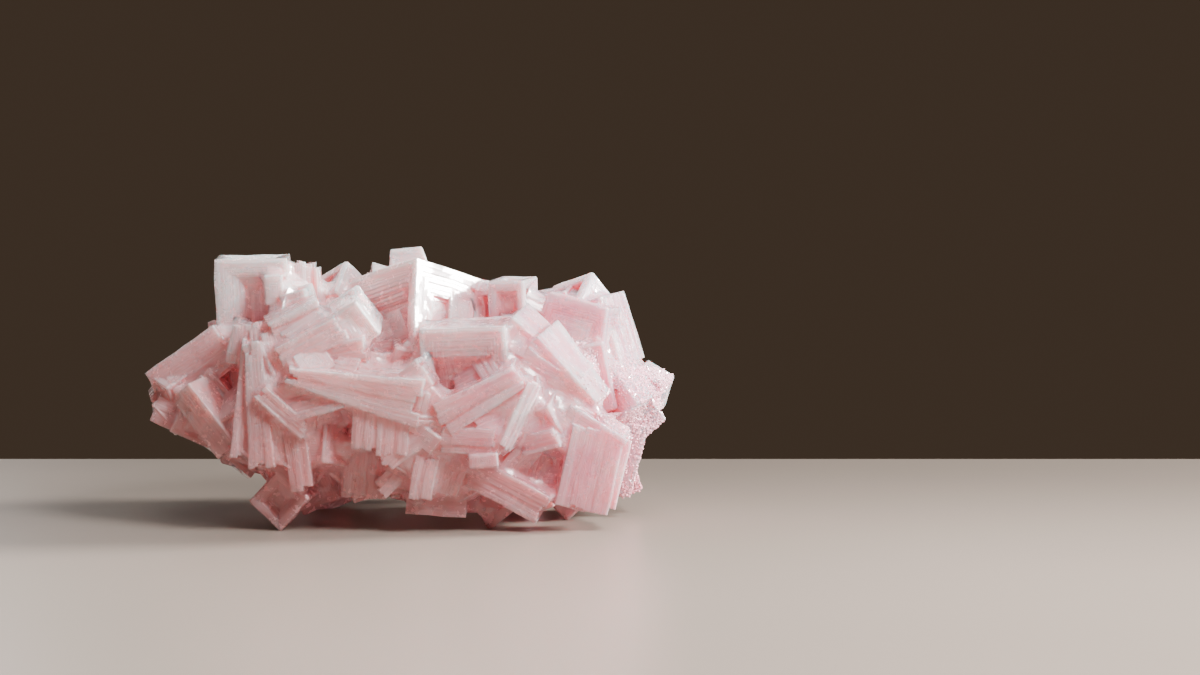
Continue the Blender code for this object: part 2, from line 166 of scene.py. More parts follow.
back = [
    hopper("backHopper", (-18, 26, 48), (30, 26, 26), (12, 12, 24), "BLT"),
    hopper("backCubeHigh", (14, 20, 54), (21, 20, 20), (-10, 14, -28), "BRT"),
    hopper("backCubeLeft", (-44, 18, 48), (20, 19, 18), (14, -20, -18), "BLT"),
    hopper("backCubeRight", (42, 22, 42), (24, 22, 21), (-14, -18, 26), "BRT"),
    slab("backSlabLong", (4, 34, 38), (42, 12, 9), (-12, 28, 6)),
    slab("backSlabCross", (-14, 35, 28), (32, 11, 9), (10, -38, -8)),
    slab("backSlabLeft", (-52, 20, 34), (26, 13, 9), (-8, 42, 18)),
    slab("backSlabRight", (52, 20, 27), (24, 13, 9), (12, -46, -20)),
    slab("backSlabLow", (22, 31, 22), (28, 12, 9), (-8, -22, 14)),
    hopper("backBlockLow", (-2, 24, 20), (17, 18, 16), (10, 20, 10), "B"),
    hopper("backFootLeft", (-28, 15, 11.5), (13, 13, 22), (14, 16, 30), "BL"),
    hopper("backFootRight", (30, 14, 11), (14, 13, 21), (-12, -14, -24), "BR"),
    slab("backCrest", (-4, 24, 62), (22, 12, 9), (24, -16, 12)),
    hopper("underBlockLeft", (-12, 4, 23), (20, 19, 16), (16, 10, 24)),
    slab("underBlockMiddle", (8, 4, 21), (24, 16, 12), (-12, -14, -18)),
    hopper("underBlockRight", (30, -2, 20), (17, 17, 15), (20, 14, 30)),
    hopper("leftEndBlock", (-60, 6, 37), (15, 18, 15), (20, 30, 30), "LB"),
]

cluster = {
    "seed": 7,              # places of the seeded crystals, shared with the solid
    "fineSeed": 23,         # the fine growth on them
    "centring": (-0.9, -2.7, 0),
    "coreCentre": (-1, 4, 41),
    "coreHalfSize": (53, 20, 21),
    "rimShare": 0.22,
    "courses": 3,
    "scatterCount": 15,
    "scatterReach": (54, 34, 26),
    "rootColumns": (-52, -38, -24, -10, 4, 18, 32, 46),
    "rootRows": ((25, 22, -40), (40, 26, -60)),
    "rootSpread": 72,
    "rootSize": 19,
    "plateThickness": 1.15,  # mm, the fine plates inside a course
    "segment": 3.4,          # mm between points along an edge
    "edgeChamfer": 0.6,      # mm
    "wobble": 0.26,          # mm, how far faces and edges wander
    "occlusionReach": 14,    # mm
    "occlusionRays": 14,
    "fillAway": 1.7,         # mm, faces farther than this from every crystal belong to the fill
    "fillTone": 0.16,
    "gapLowest": 7,          # mm above the ground
    "gapDepth": 1.3,         # mm, gaps shallower than this stay as they are
    "gapSpacing": 4.2,
    "gapLength": (7, 16),
    "gapHeight": (3.5, 8),
    "gapProud": (-0.5, 0.3),
    # pits that stay open: place, half width, mm, and the crystal they line up with
    "pits": ((12.9, -30, 41.3, 4, "ledgeHopper"), (-48, -24, 39.6, 3, "wingBlade"), (-14, -32, 28, 2.2, "prism"),
             (27.2, -32, 23, 2.8, "levelBlock"), (39.3, -30, 20.6, 2.2, "innerPost"), (-7, -19, 54, 9, "greatHopper"),
             (56.9, -16, 34, 3.2, "rightSlab"), (-32.6, -28, 28.5, 2.2, "fanRight"), (21.8, -34, 32.9, 2.2, "diagonalBlock"),
             (22, -15, 60, 5, "greatHopper")),
    "mostTriangles": 196000,
    # how frosty single crystals are, 0 to 1; the others take a seeded value below frostElsewhere
    "frosty": {"ledgeHopper": 0.85, "greatHopper": 0.85, "greatHopperCore": 1.0, "whiteBlock": 0.95, "whiteKnob": 0.9,
               "cornerCube": 0.85, "cornerStepHigh": 0.7, "smallFrontCube": 0.7, "peakCube": 0.8, "greatSlab": 0.35, "frontBlockCap": 0.7,
               "capBlock": 0.6, "brightBlade": 0.6, "shoulderCube": 0.5, "pointedCube": 0.5, "wingBlade": 0.4},
    "frostElsewhere": 0.4,
    # slabs without plates or ridges
    "smooth": ("frontBlockLeft", "frontBlockRight", "frontBlockCap", "greatSlab", "greatSlabUnder", "pillowBlock",
               "lowBlock", "wingSlab", "wingUnder", "wingBlade", "rightSkirt", "shoulderLow", "peakShoulder"),
    # slabs in one course of faint plates
    "blocks": ("frontBlock", "frontBlockTop", "greatSlabShoulder"),
    "fillVoxel": 1.1,        # mm, grid of the fill between crystals
    "fillReach": 3.2,        # mm, crevices up to twice this wide are filled
    "fillOverlap": 1.3,      # mm, how much smaller than a crystal the room it keeps free of fill is
    "fillSunk": 0.95,        # mm, how far under the crystals' faces the fill stays
}

# share of the rim width, share of the hollow's depth: the terraces of a hopper hollow, and of a well with low steps
terraces = {
    "hollow": ((0.22, 0.02), (0.42, 0.05), (0.6, 0.09), (0.76, 0.16), (0.89, 0.27), (1.0, 0.42), (1.12, 0.55),
               (1.24, 0.68), (1.36, 0.82), (1.5, 0.92), (1.66, 0.98)),
    "well": ((0.2, 0.02), (0.36, 0.07), (0.5, 0.1), (0.62, 0.17), (0.78, 0.21), (0.9, 0.28), (1.0, 0.5),
             (1.06, 0.75), (1.12, 0.98)),
}

# inset share of the half face, depth in mm: the shallow steps of a plain face
plainSteps = ((0.1, 0.08), (0.24, 0.2), (0.42, 0.26), (0.66, 0.16))

boxFaces = {
    "F": ((1, 0, 0), (0, 0, 1), (0, -1, 0)),
    "B": ((-1, 0, 0), (0, 0, 1), (0, 1, 0)),
    "R": ((0, 1, 0), (0, 0, 1), (1, 0, 0)),
    "L": ((0, -1, 0), (0, 0, 1), (-1, 0, 0)),
    "T": ((1, 0, 0), (0, 1, 0), (0, 0, 1)),
    "U": ((1, 0, 0), (0, -1, 0), (0, 0, -1)),
}


laterGrowth = [
    slab("greatSlabShoulder", (38.5, -23.5, 47.5), (25, 12, 10.5), (16, -38, -8), taper=0.3),
    slab("frontBlock", (50.2, -27, 17.2), (22.5, 12, 14.5), (6, 77, 6)),
    slab("frontBlockTop", (52.2, -26.6, 28), (18.5, 11.5, 6), (8, -33, 5)),
    slab("hangingFace", (-8.6, -27.5, 19), (20, 8, 11.5), (-4, 84, -6)),
    slab("hangingEdge", (-14.3, -25, 17.6), (18.5, 7, 5), (4, 87, 10)),
    hopper("hangingTooth", (-11.5, -26, 10.8), (5, 6, 5), (4, 14, 8)),
    hopper("hangingToothRight", (-5.2, -27, 12.6), (6, 6, 5), (-4, 24, -8)),
    slab("crossingUnder", (-0.6, -30, 17.5), (17, 8, 5), (6, 47, 4)),
    hopper("cornerFoot", (4.4, -21.5, 48.6), (7, 9, 7), (10, 30, 20)),
    hopper("wingKnobHigh", (-63, -14, 38), (11, 10, 11), (20, 30, 35)),
    hopper("wingKnobMiddle", (-63, -14, 32), (11, 11, 10), (-15, 40, 20)),
    hopper("wingKnobLow", (-58, -17, 28), (12, 9, 8), (10, -25, 15)),
    hopper("wingKnobUnder", (-51, -18, 24.5), (11, 8, 7), (0, -35, 10)),
]


def placeOf(c):
    if isinstance(c.turn, Matrix):
        turn = c.turn.to_4x4()
    else:
        roll, slope, swing = (math.radians(angle) for angle in c.turn)
        turn = Euler((roll, -slope, swing), "XYZ").to_matrix().to_4x4()
    return Matrix.Translation((Vector(c.at) + Vector(cluster["centring"])) * mm) @ turn


def rootCrystals(rng):
    found = []
    for x in cluster["rootColumns"]:
        for z, reach, start in cluster["rootRows"]:
            if x < start:
                continue
            front = -reach * math.sqrt(1 - (x / cluster["rootSpread"]) ** 2)
            at = (x + rng.uniform(-3, 3), front + cluster["rootSize"] / 2, z + rng.uniform(-2, 2))
            size = [cluster["rootSize"] * rng.uniform(0.85, 1.1) for _ in range(3)]
            turn = [rng.uniform(-18, 18) for _ in range(3)]
            found.append(hopper(f"root{len(found) + 1}", at, size, turn))
    return found


def scatteredCrystals(rng):
    found = []
    for i in range(cluster["scatterCount"]):
        heading = math.radians(rng.uniform(5, 175))
        rise = math.radians(rng.uniform(-58, 35))
        out = Vector((math.cos(heading) * math.cos(rise), math.sin(heading) * math.cos(rise), math.sin(rise)))
        at = [c + r * o for c, r, o in zip(cluster["coreCentre"], cluster["scatterReach"], out)]
        at[2] = max(at[2], 15)
        size = (rng.uniform(13, 21), rng.uniform(9, 13), rng.uniform(7, 11))
        turn = (rng.uniform(0, 90), rng.uniform(-50, 50), rng.uniform(-90, 90))
        form = rng.choice(("hopper", "slab"))
        found.append((hopper if form == "hopper" else slab)(f"scattered{i + 1}", at, size, turn, rng.choice("BRLT")))
    return found


def proudOf(skin, point):
    # how far a point stands out of the skin drawn over the gaps, in mm
    near, normal, _, _ = skin.find_nearest(point * mm)
    return (point * mm - near).dot(normal) / mm


def gapSites(points):
    # the skin point nearest to the middle of each cell of a grid
    cells = {}
    for i, point in enumerate(points.tolist()):
        cell = tuple(math.floor(v / cluster["gapSpacing"]) for v in point)
        away = sum((v - (n + 0.5) * cluster["gapSpacing"]) ** 2 for v, n in zip(point, cell))
        if cell not in cells or away < cells[cell][0]:
            cells[cell] = (away, i)
    return [(cell, cells[cell][1]) for cell in sorted(cells)]


def gapCrystals(points, normals, solid, skin, crystals):
    # small crystals inside the gaps between the others, none of them standing out of the skin over the gaps
    found = []
    taken = []
    for cell, i in gapSites(points):
        rng = random.Random(f"{cluster['fineSeed']} {cell}")
        at, out = Vector(points[i]), Vector(normals[i])
        if at.z < cluster["gapLowest"] or solid.find_nearest(at * mm)[3] < cluster["gapDepth"] * mm:
            continue
        if any((at - other).length < 0.85 * cluster["gapSpacing"] for other in taken):
            continue
        if any((at - Vector(pit[:3])).length < 1.2 * pit[3] + 2.5 for pit in cluster["pits"]):
            continue
        near = min(crystals, key=lambda c: (Vector(c.at) - at).length)
        along = placeOf(near).to_3x3() @ Vector((1, 0, 0))
        along -= out * along.dot(out)
        if along.length < 0.2:
            along = out.orthogonal()
        swing = math.radians(rng.choice((0, 0, 90, 40, -40)) + rng.uniform(-12, 12))
        along = Matrix.Rotation(swing, 3, out) @ along.normalized()
        up = along.cross(-out)
        length, height = rng.uniform(*cluster["gapLength"]), rng.uniform(*cluster["gapHeight"])
        level = rng.uniform(*cluster["gapProud"])
        for attempt in range(5):
            corners = [at + out * level + along * length * a + up * height * b
                       for a in (-0.5, 0, 0.5) for b in (-0.5, 0.5)]
            if max(proudOf(skin, corner) for corner in corners) < 0.25:
                break
            length, height, level = length * 0.82, height * 0.86, level - 0.2
        else:
            continue
        taken.append(at)
        turn = Matrix((along, -out, up)).transposed()
        middle = at - out * (3.5 - level) - Vector(cluster["centring"])
        make = hopper if rng.random() < 0.35 else slab
        found.append(make(f"gap {cell}", middle, (length, 7, height), turn))
    return found


def ringOn(bm, axes, box, level, counts):
    # points round a rectangle on one face, counts of segments along and up
    along, up, out = axes
    left, right, low, high = box
    points = []
    for k in range(counts[0]):
        points.append((left + (right - left) * k / counts[0], low))
    for k in range(counts[1]):
        points.append((right, low + (high - low) * k / counts[1]))
    for k in range(counts[0]):
        points.append((right - (right - left) * k / counts[0], high))
    for k in range(counts[1]):
        points.append((left, high - (high - low) * k / counts[1]))
    return [bm.verts.new(along * a + up * b + out * level) for a, b in points]


def bridge(bm, outer, inner):
    for i in range(len(outer)):
        j = (i + 1) % len(outer)
        bm.faces.new((outer[i], outer[j], inner[j], inner[i]))


def hopperMesh(c, rng, fine, segment):
    half = Vector(c.size) * mm / 2
    small = min(c.size) < 8
    bm = bmesh.new()
    for letter, rawAxes in boxFaces.items():
        axes = [Vector(axis) for axis in rawAxes]
        a, b, d = (abs(axis.dot(half)) for axis in axes)
        counts = [max(2, round(2 * side / mm / segment)) for side in (a, b)]
        ring = ringOn(bm, axes, (-a, a, -b, b), d, counts)
        depth = 0
        if letter in c.hollows:
            rims = c.rims.get(letter, (cluster["rimShare"],) * 4)
            left, right, low, high = (share * rng.uniform(0.85, 1.15) for share in rims[:4])
            deepest = min(0.36 * min(a, b), 0.5 * d)
            most = 0.86 / max(left + right, low + high)
            steps = terraces["well" if len(rims) > 4 else "hollow"]
            plan = [(min(grown, most + 0.02 * k), share * deepest) for k, (grown, share) in enumerate(steps)]
            for grown, level in plan:
                shares = [side * grown * fine.uniform(0.95, 1.05) for side in (left, right, low, high)]
                box = (-a + 2 * a * shares[0], a - 2 * a * shares[1], -b + 2 * b * shares[2], b - 2 * b * shares[3])
                ledge = ringOn(bm, axes, box, d - depth, counts)
                bridge(bm, ring, ledge)
                lean = 0.04 * mm
                box = (box[0] + lean, box[1] - lean, box[2] + lean, box[3] - lean)
                ring = ringOn(bm, axes, box, d - level, counts)
                bridge(bm, ledge, ring)
                depth = level
        elif not small:
            for inset, level in plainSteps:
                edge = inset * min(a, b)
                box = [edge * fine.uniform(0.75, 1.25) for _ in range(4)]
                box = (-a + box[0], a - box[1], -b + box[2], b - box[3])
                level = level * mm * fine.uniform(0.5, 1.3)
                ledge = ringOn(bm, axes, box, d - depth, counts)
                bridge(bm, ring, ledge)
                lean = 0.03 * mm
                box = (box[0] + lean, box[1] - lean, box[2] + lean, box[3] - lean)
                ring = ringOn(bm, axes, box, d - level, counts)
                bridge(bm, ledge, ring)
                depth = level
        bm.faces.new(ring)
    bmesh.ops.remove_doubles(bm, verts=bm.verts, dist=1e-6)
    rim = []
    for edge in bm.edges:
        sides = [all(abs(abs(v.co[k]) - half[k]) < 1e-7 for v in edge.verts) for k in range(3)]
        if sum(sides) == 2:
            rim.append(edge)
    bmesh.ops.bevel(bm, geom=rim, offset=cluster["edgeChamfer"] * mm * (0.6 if small else 1), segments=1,
                    affect="EDGES", clamp_overlap=True)
    return [bm]


def addPlate(bm, size, at, segments, fine):
    length, depth, thick = size
    rows = []
    for k in range(segments + 1):
        x = at[0] - length / 2 + length * k / segments
        rows.append([bm.verts.new((x, at[1] + y * depth / 2, at[2] + z * thick / 2))
                     for y, z in ((-1, -1), (1, -1), (1, 1), (-1, 1))])
    for first, second in zip(rows, rows[1:]):
        bridge(bm, second, first)
    bm.faces.new(rows[0][::-1])
    bm.faces.new(rows[-1])


def slabMesh(c, rng, fine, segment):
    length, depth, height = (side * mm for side in c.size)
    shares = [rng.uniform(0.7, 1.3) for _ in range(cluster["courses"])]
    smooth = c.name in cluster["smooth"]
    block = c.name in cluster["blocks"]
    if block:
        shares = [1]
    rise = -height / 2
    tallest = 0 if block else rng.randrange(cluster["courses"])
    meshes = [bmesh.new(), bmesh.new()]
    segments = max(3, round(c.size[0] / segment))
    count = 0
    for course, share in enumerate(shares):
        thick = height * share / sum(shares)
        proud = 0 if course == tallest else rng.uniform(0.03, 0.09)
        ends = 0 if course == tallest else rng.uniform(0.03, 0.12)
        shift = rng.uniform(-0.5, 0.5) * ends * length
        plates = max(2, round(thick / mm / cluster["plateThickness"] / (segment / cluster["segment"])))
        if smooth:
            plates, proud = 1, 0.4 * proud
        if block:
            plates = round(thick / mm / 2)
        parts = [fine.uniform(0.7, 1.3) for _ in range(plates)]
        longest = fine.randrange(plates)
        for k, part in enumerate(parts):
            less = 0 if k == longest else 1
            plate = thick * part / sum(parts)
            trim = less * fine.uniform(0, 0.055)
            step = fine.uniform(0, 0.1 if block else 0.3) * mm
            size = (length * (1 - ends) * (1 - trim), depth * (1 - 0.6 * proud) - less * step,
                    plate + 0.22 * mm)
            slip = fine.uniform(-0.5, 0.5) * trim * length
            sway = fine.uniform(-0.12, 0.12) * mm * less
            addPlate(meshes[count % 2], size, (shift + slip, sway, rise + plate / 2), segments, fine)
            rise += plate
            count += 1
    for side, parity in ((1, count), (-1, 1)):     # low ridges along the two broad faces
        y = -depth / 2 + fine.uniform(0.5, 1.5) * mm
        while y < depth / 2 - 1.6 * mm and not (smooth or block):
            width = fine.uniform(0.6, 1.8) * mm
            stand = fine.uniform(0.06, 0.18) * mm
            long = length * fine.uniform(0.55, 0.86)
            slip = fine.uniform(-0.5, 0.5) * (length * 0.86 - long)
            level = side * (height / 2 + (stand - 0.3 * mm) / 2)
            addPlate(meshes[parity % 2], (long, width, stand + 0.3 * mm), (slip, y + width / 2, level), segments, fine)
            y += width + fine.uniform(0.5, 1.6) * mm
    return meshes


def narrow(bm, c):
    length, _, height = (side * mm for side in c.size)
    for vert in bm.verts:
        section = 1 - c.taper * vert.co.x / length
        storey = 1 - c.pinch * (vert.co.z / height + 0.5)
        vert.co = (vert.co.x * storey, vert.co.y * section * storey, vert.co.z * section)


def wander(bm, offset):
    # the same slow and quick wander for everything at one place of a crystal
    for vert in bm.verts:
        slow = noise.noise_vector(vert.co / mm * 0.09 + offset)
        quick = noise.noise_vector(vert.co / mm * 0.37 - offset)
        vert.co += (slow * 1.3 + quick * 0.7) * cluster["wobble"] * mm


def looseObject(name, bm, collection=None):
    bmesh.ops.recalc_face_normals(bm, faces=bm.faces)
    mesh = bpy.data.meshes.new(name)
    bm.to_mesh(mesh)
    bm.free()
    obj = bpy.data.objects.new(name, mesh)
    (collection or bpy.context.scene.collection).objects.link(obj)
    return obj


def addCrystals(crystals, start, grown, rng, segment):
    for index, c in enumerate(crystals, start):
        fine = random.Random(f"{cluster['fineSeed']} {c.name}")
        offset = Vector([fine.uniform(-400, 400) for _ in range(3)])
        for bm in (hopperMesh if c.kind == "hopper" else slabMesh)(c, rng or fine, fine, segment):
            narrow(bm, c)
            wander(bm, offset)
            bm.transform(placeOf(c))
            looseObject(c.name, bm, grown)["crystal"] = index


def growCrystals():
    rng = random.Random(cluster["seed"])
    grown = bpy.data.collections.new("crystalsToFuse")
    bpy.context.scene.collection.children.link(grown)
    crystals = topRow + leftWing + front + rightEnd + feet + back
    crystals = crystals + rootCrystals(rng) + scatteredCrystals(rng)
    addCrystals(crystals, 0, grown, rng, cluster["segment"])
    addCrystals(laterGrowth, len(crystals), grown, None, cluster["segment"])
    return crystals + laterGrowth, grown


def levelSet(points, triangles, quads, halfWidth):
    transform = openvdb.createLinearTransform(voxelSize=cluster["fillVoxel"])
    return openvdb.FloatGrid.createLevelSetFromPolygons(points, triangles=triangles, quads=quads,
                                                        transform=transform, halfWidth=halfWidth)


def meshArrays(mesh):
    mesh.calc_loop_triangles()
    points = np.empty(len(mesh.vertices) * 3, np.float32)
    mesh.vertices.foreach_get("co", points)
    triangles = np.empty(len(mesh.loop_triangles) * 3, np.int32)
    mesh.loop_triangles.foreach_get("vertices", triangles)
    return points.reshape(-1, 3) / mm, triangles.reshape(-1, 3).astype(np.uint32)


def drawnOver(mesh, sunk):
    # a skin over the gaps: the shape grown out by a reach, then drawn back by as much and a little more
    reach = cluster["fillReach"]
    width = (reach + sunk) / cluster["fillVoxel"] + 3
    points, triangles = meshArrays(mesh)
    grid = levelSet(points, triangles, np.zeros((0, 4), np.uint32), width)
    grid = levelSet(*grid.convertToPolygons(isovalue=reach, adaptivity=0), width)
    points, triangles, quads = grid.convertToPolygons(isovalue=-reach - sunk, adaptivity=0)
    skin = bpy.data.meshes.new("skin")
    faces = quads.tolist() + triangles.tolist()
    skin.from_pydata((points * mm).tolist(), [], [face[::-1] for face in faces])     # its faces come inside out
    return skin


def booleanStep(obj, operation, other):
    step = obj.modifiers.new(operation.lower(), "BOOLEAN")
    step.operation = operation
    step.solver = "MANIFOLD"
    if isinstance(other, bpy.types.Collection):
        step.operand_type = "COLLECTION"
        step.collection = other
    else:
        step.object = other


def shapeOf(obj):
    return bpy.data.meshes.new_from_object(obj.evaluated_get(bpy.context.evaluated_depsgraph_get()))


def fuseCrystals(crystals, grown):
    bm = bmesh.new()
    bmesh.ops.create_icosphere(bm, subdivisions=3, radius=mm)
    middle = hopper("core", cluster["coreCentre"], (), (0, 0, 0))
    bm.transform(placeOf(middle) @ Matrix.Diagonal((*cluster["coreHalfSize"], 1)))
    core = looseObject("core", bm)
    booleanStep(core, "UNION", grown)
    rough = shapeOf(core)
    print("first fuse", len(rough.polygons))
    skin = drawnOver(rough, 0)
    points, _ = meshArrays(skin)
    normals = [v.normal.copy() for v in skin.vertices]
    solid = BVHTree.FromPolygons([v.co.copy() for v in rough.vertices], [tuple(p.vertices) for p in rough.polygons])
    skinTree = BVHTree.FromPolygons([v.co.copy() for v in skin.vertices], [tuple(p.vertices) for p in skin.polygons])
    extra = gapCrystals(points, normals, solid, skinTree, crystals)
    addCrystals(extra, len(crystals), grown, None, 1.4 * cluster["segment"])
    fill = bmesh.new()
    fill.from_mesh(drawnOver(rough, cluster["fillSunk"]))
    fill = looseObject("fill", fill)
    pits = bpy.data.collections.new("pits")
    bpy.context.scene.collection.children.link(pits)
    turns = {c.name: placeOf(c).to_3x3().to_4x4() for c in crystals}
    for x, y, z, half, name in cluster["pits"]:
        bm = bmesh.new()
        bmesh.ops.create_cube(bm, size=2 * half * mm)
        bm.transform(Matrix.Translation((x * mm, y * mm, z * mm)) @ turns.get(name, Matrix.Identity(4)))
        looseObject("pit", bm, pits)
    booleanStep(fill, "DIFFERENCE", pits)
    rooms = bpy.data.collections.new("rooms")
    bpy.context.scene.collection.children.link(rooms)
    for c in crystals + extra:       # the fill stays out of the crystals' own hollows
        bm = bmesh.new()
        bmesh.ops.create_cube(bm, size=1)
        inner = [max(side - cluster["fillOverlap"], 0.2 * side) * mm for side in c.size]
        if c.kind == "slab":
            inner[0] = 0.8 * c.size[0] * mm
        bm.transform(Matrix.Diagonal((*inner, 1)))
        narrow(bm, c)
        bm.transform(placeOf(c))
        looseObject("room", bm, rooms)
    booleanStep(fill, "DIFFERENCE", rooms)
    booleanStep(core, "UNION", fill)
    bm = bmesh.new()
    bmesh.ops.create_cube(bm, size=40 * mm)
    bm.transform(Matrix.Translation((0, 0, -20 * mm)) @ Matrix.Diagonal((8, 8, 1, 1)))
    ground = looseObject("groundCut", bm)
    booleanStep(core, "DIFFERENCE", ground)
    mesh = shapeOf(core)
    print("gap crystals", len(extra), "second fuse", len(mesh.polygons))
    return mesh, crystals + extra, [core, ground, fill, *pits.objects, *rooms.objects]


def keepOuterSkin(mesh):
    bm = bmesh.new()
    bm.from_mesh(mesh)
    skins = []
    unseen = set(bm.faces)
    while unseen:
        skin = [unseen.pop()]
        for face in skin:
            for edge in face.edges:
                fresh = unseen.intersection(edge.link_faces)
                unseen -= fresh
                skin.extend(fresh)
        skins.append(skin)
    skins.sort(key=len)
    for skin in skins[:-1]:
        bmesh.ops.delete(bm, geom=skin, context="FACES")
    bmesh.ops.triangulate(bm, faces=bm.faces)
    bm.to_mesh(mesh)
    bm.free()


def thinOut(mesh):
    mesh.calc_loop_triangles()
    count = len(mesh.loop_triangles)
    if count <= cluster["mostTriangles"]:
        return mesh
    obj = bpy.data.objects.new("thinning", mesh)
    bpy.context.scene.collection.objects.link(obj)
    thin = obj.modifiers.new("thin", "DECIMATE")
    thin.ratio = cluster["mostTriangles"] / count
    thin.use_collapse_triangulate = True
    mesh = bpy.data.meshes.new_from_object(obj.evaluated_get(bpy.context.evaluated_depsgraph_get()))
    bpy.data.objects.remove(obj)
    print("thinned from", count)
    return mesh


def cornerAttribute(mesh, name, values):
    layer = mesh.attributes.new(name, "FLOAT_VECTOR", "CORNER")
    layer.data.foreach_set("vector", np.ascontiguousarray(values, np.float32).ravel())


def plainAttribute(mesh, name, values, domain="POINT"):
    layer = mesh.attributes.new(name, "FLOAT", domain)
    layer.data.foreach_set("value", np.ascontiguousarray(values, np.float32))


def markCrystals(mesh, crystals, grown):
    # finds which crystal each face came from, and gives its corners that crystal's own coordinates
    points, faces, owners = [], [], []
    for obj in grown.objects:
        start = len(points)
        points.extend(v.co.copy() for v in obj.data.vertices)
        faces.extend([start + i for i in p.vertices] for p in obj.data.polygons)
        owners.extend([obj["crystal"]] * len(obj.data.polygons))
    tree = BVHTree.FromPolygons(points, faces)
    owner = np.empty(len(mesh.polygons), int)
    for face in mesh.polygons:
        _, _, near, away = tree.find_nearest(face.center)
        owner[face.index] = owners[near] if away < cluster["fillAway"] * mm else len(crystals)
    crystals = crystals + [slab("fill", (0, 0, 0), (30, 30, 30), (20, 65, 15))]
    co = np.empty(len(mesh.vertices) * 3, np.float32)
    mesh.vertices.foreach_get("co", co)
    co = co.reshape(-1, 3)
    corner = np.empty(len(mesh.loops), np.int32)
    mesh.loops.foreach_get("vertex_index", corner)
    cornerOwner = np.repeat(owner, 3)
    size = np.array([c.size for c in crystals], float)
    back = np.array([placeOf(c).inverted() for c in crystals])[cornerOwner]
    grain = np.einsum("nij,nj->ni", back[:, :3, :3], co[corner]) + back[:, :3, 3]
    grain = grain / mm
    rng = np.random.default_rng(cluster["fineSeed"])
    tone = rng.uniform(0, cluster["frostElsewhere"], len(crystals))
    tone = np.array([cluster["frosty"].get(c.name, value) for c, value in zip(crystals, tone)])
    tone[-1] = cluster["fillTone"]
    isSlab = np.array([c.kind == "slab" for c in crystals], float)
    out = co[corner] / mm
    # reach from the middle of the cluster, which the material uses to paint the outer crystals whiter, as painted light
    reach = np.sqrt(((out - (0, 0, 30)) / (80, 140, 46)) ** 2 @ np.ones(3))
    cornerAttribute(mesh, "cell", grain / (size[cornerOwner] / 2))
    cornerAttribute(mesh, "grain", grain + cornerOwner[:, None] * (17.0, 31.0, 13.0))
    cornerAttribute(mesh, "habit", np.stack([tone[cornerOwner], isSlab[cornerOwner], np.clip(reach, 0, 1.4)], 1))
    return owner


def occlusion(mesh):
    # how much of its surroundings each face sees blocked by other crystals, evened out over its neighbours
    tree = BVHTree.FromPolygons([v.co.copy() for v in mesh.vertices], [tuple(p.vertices) for p in mesh.polygons])
    rays = []
    for k in range(cluster["occlusionRays"]):
        z = 1 - 2 * (k + 0.5) / cluster["occlusionRays"]
        turn = k * 2.399963
        rays.append(Vector((math.cos(turn) * math.sqrt(1 - z * z), math.sin(turn) * math.sqrt(1 - z * z), z)))
    reach = cluster["occlusionReach"] * mm
    blocked = np.zeros(len(mesh.polygons))
    for face in mesh.polygons:
        normal = face.normal
        start = face.center + normal * 0.25 * mm
        hit = 0.0
        for ray in rays:
            distance = tree.ray_cast(start, (ray + normal * 1.02).normalized(), reach)[3]
            if distance is not None:
                hit += 1 - 0.6 * distance / reach
        blocked[face.index] = hit / len(rays)
    area = np.empty(len(mesh.polygons))
    mesh.polygons.foreach_get("area", area)
    corner = np.empty(len(mesh.loops), np.int32)
    mesh.loops.foreach_get("vertex_index", corner)
    weight = np.maximum(np.bincount(corner, np.repeat(area, 3)), 1e-15)
    own = area / (area + 1.5e-6)
    for _ in range(3):
        atPoint = np.bincount(corner, np.repeat(blocked * area, 3)) / weight
        blocked = own * blocked + (1 - own) * atPoint[corner].reshape(-1, 3).mean(1)
    own = np.repeat(own, 3)
    return own * np.repeat(blocked, 3) + (1 - own) * atPoint[corner]
# ---- node helpers ----

def addNode(tree, kind, inputs=None, **settings):
    node = tree.nodes.new(kind)
    for key, value in settings.items():
        setattr(node, key, value)
    for key, value in (inputs or {}).items():
        if isinstance(value, bpy.types.NodeSocket):
            tree.links.new(value, node.inputs[key])
        else:
            node.inputs[key].default_value = value
    return node


def mathNode(tree, operation, *values, clamp=False):
    return addNode(tree, "ShaderNodeMath", dict(enumerate(values)), operation=operation, use_clamp=clamp).outputs[0]


def ramp(tree, value, low, high, lowValue=0.0, highValue=1.0):
    return addNode(tree, "ShaderNodeMapRange", {0: value, 1: low, 2: high, 3: lowValue, 4: highValue},
                   interpolation_type="SMOOTHSTEP").outputs[0]


def mixColour(tree, factor, first, second):
    node = addNode(tree, "ShaderNodeMix", data_type="RGBA")
    for socket, value in ((node.inputs[0], factor), (node.inputs[6], first), (node.inputs[7], second)):
        if isinstance(value, bpy.types.NodeSocket):
            tree.links.new(value, socket)
        else:
            socket.default_value = value
    return node.outputs[2]


def newGroup(name, inputs, outputs):
    group = bpy.data.node_groups.new(name, "ShaderNodeTree")
    for label, kind, value in inputs:
        socket = group.interface.new_socket(label, in_out="INPUT", socket_type=kind)
        if value is not None:
            socket.default_value = value
    for label, kind in outputs:
        group.interface.new_socket(label, in_out="OUTPUT", socket_type=kind)
    return group, group.nodes.new("NodeGroupInput"), group.nodes.new("NodeGroupOutput")


